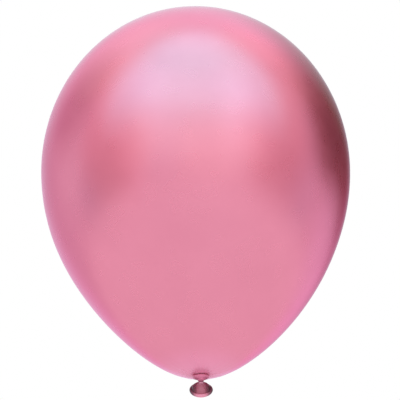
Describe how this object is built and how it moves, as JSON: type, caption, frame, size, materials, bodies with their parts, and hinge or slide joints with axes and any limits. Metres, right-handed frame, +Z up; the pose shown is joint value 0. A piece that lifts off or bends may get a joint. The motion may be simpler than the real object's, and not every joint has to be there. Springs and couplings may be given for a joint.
{
  "type": "latex balloon",
  "caption": "Inflated party balloon in satin pink latex, egg-shaped, tied off with a knot, with a flared tail and rolled rim bent back below it.",
  "frame": {"origin": "on the balloon's axis at the underside of the knot, where a ribbon ties on", "axes": "+Z up the balloon's axis from the knot to the crown; the tail is bent back towards +Y; +X to the right seen from the front (-Y)"},
  "size_m": [0.28, 0.28, 0.3703],
  "materials": {
    "latex_body": "satin",
    "latex_knot": "satin"
  },
  "bodies": {
    "knot": {"knot_loop": "latex_knot", "knot_bight": "latex_knot", "neck_stem": "latex_knot"},
    "throat": {"throat": "latex_body"},
    "body": {"envelope": "latex_body"},
    "ring": {"tail_ring": "latex_knot"},
    "tail": {"tail_skirt": "latex_knot", "rolled_rim": "latex_knot"}
  },
  "joints": [
    {"name": "body_nod", "type": "hinge", "parent": "knot", "child": "throat", "pos_m": [0, 0, 0.00425], "axis": [1, 0, 0], "range_deg": [-6, 6], "stiffness_Nm_per_rad": 0.02},
    {"name": "body_lean", "type": "hinge", "parent": "throat", "child": "body", "pos_m": [0, 0, 0.00425], "axis": [0, 1, 0], "range_deg": [-6, 6], "stiffness_Nm_per_rad": 0.02},
    {"name": "tail_bend", "type": "hinge", "parent": "knot", "child": "ring", "pos_m": [0, 0.00123, -0.00162], "axis": [1, 0, 0], "range_deg": [-48, 2], "stiffness_Nm_per_rad": 0.0003},
    {"name": "tail_swing", "type": "hinge", "parent": "ring", "child": "tail", "pos_m": [0, 0.00123, -0.00162], "axis": [0, 0.5592, 0.829], "range_deg": [-20, 20], "stiffness_Nm_per_rad": 0.0003}
  ]
}
